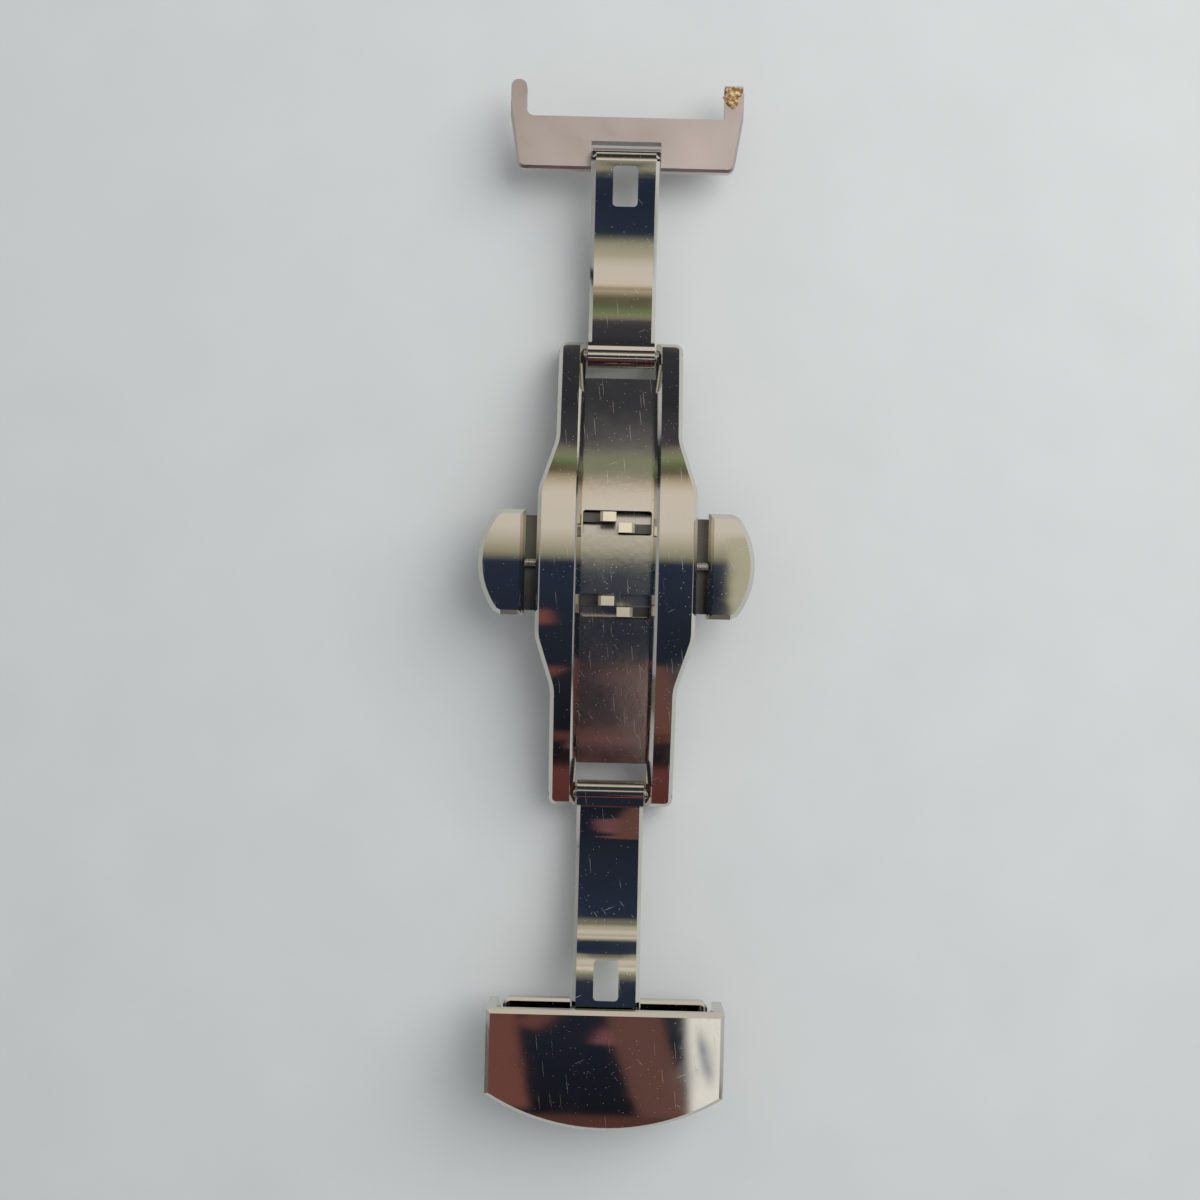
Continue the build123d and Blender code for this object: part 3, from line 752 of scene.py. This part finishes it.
def dress(names: tuple[str, ...], material: bpy.types.Material) -> None:
    """Puts one material on each named node and logs it.

    Args:
        names: The nodes to dress.
        material: The material for all their slots.
    """
    for name in names:
        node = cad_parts[name]
        if not node.material_slots:
            node.data.materials.append(material)
        for slot in node.material_slots:
            slot.material = material
        LOG.info("dressed %s in %s", name, material.name)


@dataclass
class CentreFrame:
    """The arched frame, its back cover, rivets and hinge pins.

    Attributes:
        channel_half_width: Half width in millimetres of the channel between the rails.
    """

    channel_half_width: float = 2.70

    def build(self) -> None:
        """Dresses the frame's nodes."""
        body = PolishedSteel("buffed_stainless_frame", peel_half_width=self.channel_half_width)
        back = PolishedSteel("buffed_stainless_back", colour="#CBC7C1", roughness=0.16)
        dress(("centre_frame",), body.make())
        dress(("back_cover",), back.make())
        dress(("cover_rivets",), TurnedSteel("turned_stainless_rivets").make())
        pins = TurnedSteel("turned_stainless_pins")
        dress(("upper_frame_hinge_pin", "lower_frame_hinge_pin"), pins.make())


@dataclass
class FoldingArms:
    """The two folding arms, whose faces roll a little towards the knuckles and the barrels.

    Attributes:
        upper_bow: Tilt of the upper arm's face at places along y.
        lower_bow: Tilt of the lower arm's face at places along y.
    """

    upper_bow: tuple[tuple[float, float], ...] = (
        (19.4, 0.26), (20.4, 0.22), (21.4, 0.148), (22.3, 0.125), (23.1, 0.113), (23.7, 0.11), (24.3, 0.095),
        (24.9, 0.04), (25.7, 0.008), (26.8, -0.017), (28.1, -0.025), (29.2, -0.05), (30.4, -0.07),
        (31.2, -0.045), (31.7, 0.0), (32.2, 0.04), (32.9, 0.055), (33.6, 0.06),
    )
    lower_bow: tuple[tuple[float, float], ...] = (
        (-30.8, -0.085), (-30.0, -0.06), (-29.2, -0.02), (-28.5, 0.03), (-27.8, 0.08), (-27.1, 0.06),
        (-26.7, 0.02), (-26.4, 0.01), (-26.1, 0.04), (-25.6, 0.107), (-25.1, 0.1), (-24.75, 0.075),
        (-23.5, 0.05), (-22.0, 0.02), (-20.0, 0.0), (-19.4, 0.0), (-18.6, -0.06), (-18.1, -0.1),
        (-17.3, -0.107), (-16.5, -0.112), (-15.9, -0.17),
    )

    def build(self) -> None:
        """Dresses the arms."""
        dress(("upper_arm",), PolishedSteel("buffed_stainless_upper_arm", bow=self.upper_bow).make())
        dress(("lower_arm",), PolishedSteel("buffed_stainless_lower_arm", bow=self.lower_bow).make())


@dataclass
class EndPieces:
    """The clamp plates, the cover with its pins and post, and the glue on one ear.

    Attributes:
        ear_x: Place of the right ear's middle in millimetres.
        crumb_count: Number of glue crumbs.
        crumb_size: Largest crumb radius in millimetres.
        crumb_seed: Seed of the crumbs' sizes and places.
        smallest: Radius of the smallest crumb, as a share of the largest.
        spread_x: Where the crumbs lie beside the ear's middle, in millimetres.
        spread_y: Where they lie below the ear's tip, in millimetres.
        flatness: Height of a crumb as a share of its width.
        lump_depth: How far a crumb is from round, as a share of its radius.
        lump_waves: Waves of the lumps in radians per metre, along x and y.
        lump_phase: Shift of the waves in radians per metre of a crumb's radius.
    """

    ear_x: float = 8.12
    crumb_count: int = 15
    crumb_size: float = 0.52
    crumb_seed: int = 7
    smallest: float = 0.45
    spread_x: tuple[float, float] = (-0.46, 0.40)
    spread_y: tuple[float, float] = (0.45, 1.5)
    flatness: float = 0.45
    lump_depth: float = 0.22
    lump_waves: tuple[float, float] = (9e3, 8e3)
    lump_phase: float = 4e4

    def build(self) -> None:
        """Dresses the end pieces and lays the glue."""
        satin = BlastedSteel("blasted_stainless_plate", colour="#DCCFCC", cloud_colour="#CCBFBD")
        cover = PolishedSteel("buffed_stainless_cover", ripple_width=7.0)
        dress(("upper_clamp_plate",), satin.make())
        dress(("lower_clamp_plate",), PolishedSteel("buffed_stainless_lower_plate").make())
        dress(("lower_cover",), cover.make())
        pins = ("upper_end_hinge_pin", "lower_end_hinge_pin", "cover_pivot_pins", "cover_catch_pins",
                "strap_post")
        dress(pins, TurnedSteel("turned_stainless_cover_pins").make())
        self.lay_glue()

    def lay_glue(self) -> None:
        """Builds the crust of glue crumbs on the tip of the right ear."""
        _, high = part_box("upper_clamp_plate")
        chance = random.Random(self.crumb_seed)
        crust = bmesh.new()
        for _ in range(self.crumb_count):
            size = self.crumb_size * chance.uniform(self.smallest, 1.0) * MM
            start = len(crust.verts)
            bmesh.ops.create_icosphere(crust, subdivisions=3, radius=size)
            crust.verts.ensure_lookup_table()
            place = Vector((
                (self.ear_x + chance.uniform(*self.spread_x)) * MM,
                high.y - chance.uniform(*self.spread_y) * MM,
                high.z,
            ))
            for vert in crust.verts[start:]:
                wave_x = math.sin(self.lump_waves[0] * vert.co.x + size * self.lump_phase)
                wave_y = math.cos(self.lump_waves[1] * vert.co.y)
                lump = 1 + self.lump_depth * wave_x * wave_y
                vert.co = Vector((vert.co.x * lump, vert.co.y * lump, vert.co.z * self.flatness)) + place
        mesh = bpy.data.meshes.new("ear_glue")
        crust.to_mesh(mesh)
        crust.free()
        mesh.shade_smooth()
        glue = bpy.data.objects.new("ear_glue", mesh)
        bpy.context.scene.collection.objects.link(glue)
        mesh.materials.append(DriedGlue().make())
        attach(glue, "upper_end_piece")
        LOG.info("laid %d glue crumbs", self.crumb_count)


@dataclass
class PressButtons:
    """The pads, latch plates, guide rods and return springs.

    Attributes:
        head_height: Height in millimetres above which the hooks' heads get a painted highlight.
    """

    head_height: float = 5.95

    def build(self) -> None:
        """Dresses the button nodes."""
        # The latches' dark colours paint the shade they lie in under the pads, and their heads get a painted
        # highlight.
        latch = BlastedSteel(
            "latches_with_painted_highlight_and_shade",
            colour="#6A6765",
            cloud_colour="#5A5856",
            roughness=0.30,
            head_height=self.head_height,
        )
        wire = TurnedSteel("drawn_spring_wire", colour="#A29C94", pitch=0.08)
        dress(("left_button_pad", "right_button_pad"), PolishedSteel("buffed_stainless_pads").make())
        dress(("left_latch_plate", "right_latch_plate"), latch.make())
        dress(("left_guide_rod", "right_guide_rod"), TurnedSteel("turned_stainless_rods").make())
        dress(("left_return_spring", "right_return_spring"), wire.make())


@dataclass
class Studio:
    """The floor, the reflection card, the lamp, the world and the camera.

    Attributes:
        focal_pixels: Focal length in pixels of the picture.
        camera_height: Height of the camera in millimetres.
        aim: Middle of the view in millimetres.
        lean: Clockwise lean of the clasp in degrees.
        near: Distance in millimetres from which the camera sees.
        sensor_width: Width of the camera's sensor in millimetres.
        floor_half: Half size of the floor in millimetres.
        floor_drop: Depth in millimetres of the floor below the clasp.
        card_height: Height of the reflection card in millimetres.
        card_half: Half size of the reflection card's level part in millimetres.
        card_foot: Distance in millimetres at which its two ends come down to the floor.
        card_gap: Height in millimetres of those ends over the floor.
        pattern: The painted reflections that the card shows.
        lamp_place: Place of the lamp in millimetres.
        lamp_size: Width and length of the lamp in millimetres.
        lamp_power: Power of the lamp in watts.
        world_colour: Colour of the room's light.
        world_strength: Strength of the room's light.
    """

    focal_pixels: float = 1518.0
    camera_height: float = 120.0
    aim: tuple[float, float] = (-1.16, -0.035)
    lean: float = 1.42
    near: float = 1.0
    sensor_width: float = 36.0
    floor_half: float = 1500.0
    floor_drop: float = 0.02
    card_height: float = 124.0
    card_half: float = 310.0
    card_foot: float = 60.0
    card_gap: float = 0.4
    pattern: CardPattern = field(default_factory=CardPattern)
    lamp_place: tuple[float, float, float] = (150.0, 110.0, 230.0)
    lamp_size: tuple[float, float] = (220.0, 300.0)
    lamp_power: float = 0.62
    world_colour: str = "#E4E8EC"
    world_strength: float = 0.5

    def build(self) -> None:
        """Builds the stage, light and camera."""
        level = [(-self.floor_half, -self.floor_drop), (self.floor_half, -self.floor_drop)]
        self.sheet(StagePart.FLOOR, self.floor_half, level, PaperFloor().make())
        bends = [(-self.card_foot, self.card_gap), (-self.card_half, self.card_height),
                 (self.card_half, self.card_height), (self.card_foot, self.card_gap)]
        card = self.sheet(StagePart.CARD, self.card_half, bends, self.pattern.make())
        # The card is seen in the polished faces only, where it paints their reflections.
        card.visible_camera = False
        card.visible_diffuse = False
        card.visible_transmission = False
        card.visible_shadow = False
        self.light()
        self.place_camera()

    def sheet(
        self,
        part: StagePart,
        half: float,
        profile: list[tuple[float, float]],
        material: bpy.types.Material,
    ) -> bpy.types.Object:
        """Makes one stage sheet, bent along a profile.

        Args:
            part: Which stage piece it is.
            half: Half its width in millimetres.
            profile: Its y and z in millimetres at each bend.
            material: Its material.

        Returns:
            The new object.
        """
        middle = (profile[0][0] + profile[-1][0]) / 2
        lengths = [0.0]
        for (y0, z0), (y1, z1) in zip(profile, profile[1:]):
            lengths.append(lengths[-1] + math.hypot(y1 - y0, z1 - z0))
        mesh = bpy.data.meshes.new(part.value)
        points = [(side * half * MM, y * MM, z * MM) for y, z in profile for side in (-1, 1)]
        faces = [(2 * i, 2 * i + 1, 2 * i + 3, 2 * i + 2) for i in range(len(profile) - 1)]
        mesh.from_pydata(points, [], faces)
        chart = mesh.uv_layers.new(name="card_length")
        for corner in mesh.loops:
            along = lengths[corner.vertex_index // 2] - lengths[-1] / 2 + middle
            chart.uv[corner.index].vector = (points[corner.vertex_index][0], along * MM)
        mesh.materials.append(material)
        piece = bpy.data.objects.new(part.value, mesh)
        bpy.context.scene.collection.objects.link(piece)
        LOG.info("placed %s", part.value)
        return piece

    def light(self) -> None:
        """Adds the soft lamp and the pale world."""
        lamp = bpy.data.lights.new("soft_window", "AREA")
        lamp.shape = "RECTANGLE"
        lamp.size = self.lamp_size[0] * MM
        lamp.size_y = self.lamp_size[1] * MM
        lamp.energy = self.lamp_power
        window = bpy.data.objects.new("soft_window", lamp)
        window.location = Vector(self.lamp_place) * MM
        window.rotation_euler = (-window.location).to_track_quat("-Z", "Y").to_euler()
        bpy.context.scene.collection.objects.link(window)
        world = bpy.data.worlds.new("pale_room")
        bpy.context.scene.world = world
        world.use_nodes = True
        tree = world.node_tree
        tree.nodes.clear()
        sky = add_node(
            tree,
            "ShaderNodeBackground",
            {"Color": linear(self.world_colour), "Strength": self.world_strength},
        )
        add_node(tree, "ShaderNodeOutputWorld", None, {"Surface": sky.outputs["Background"]})
        LOG.info("lit the studio")

    def place_camera(self) -> None:
        """Hangs the camera above the clasp as in the photograph."""
        view = bpy.data.cameras.new("camera")
        view.sensor_width = self.sensor_width
        view.lens = self.sensor_width * self.focal_pixels / PICTURE_WIDTH
        view.clip_start = self.near * MM
        eye = bpy.data.objects.new("camera", view)
        eye.location = Vector((*self.aim, self.camera_height)) * MM
        eye.rotation_euler = (0.0, 0.0, math.radians(self.lean))
        bpy.context.scene.collection.objects.link(eye)
        bpy.context.scene.camera = eye
        LOG.info("placed the camera")


def main() -> None:
    """Builds each sub-assembly in order."""
    logging.basicConfig(level=logging.INFO)
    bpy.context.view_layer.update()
    bpy.context.scene.view_settings.view_transform = "Standard"
    for assembly in (CentreFrame(), FoldingArms(), EndPieces(), PressButtons(), Studio()):
        assembly.build()


if __name__ == "__main__":
    main()
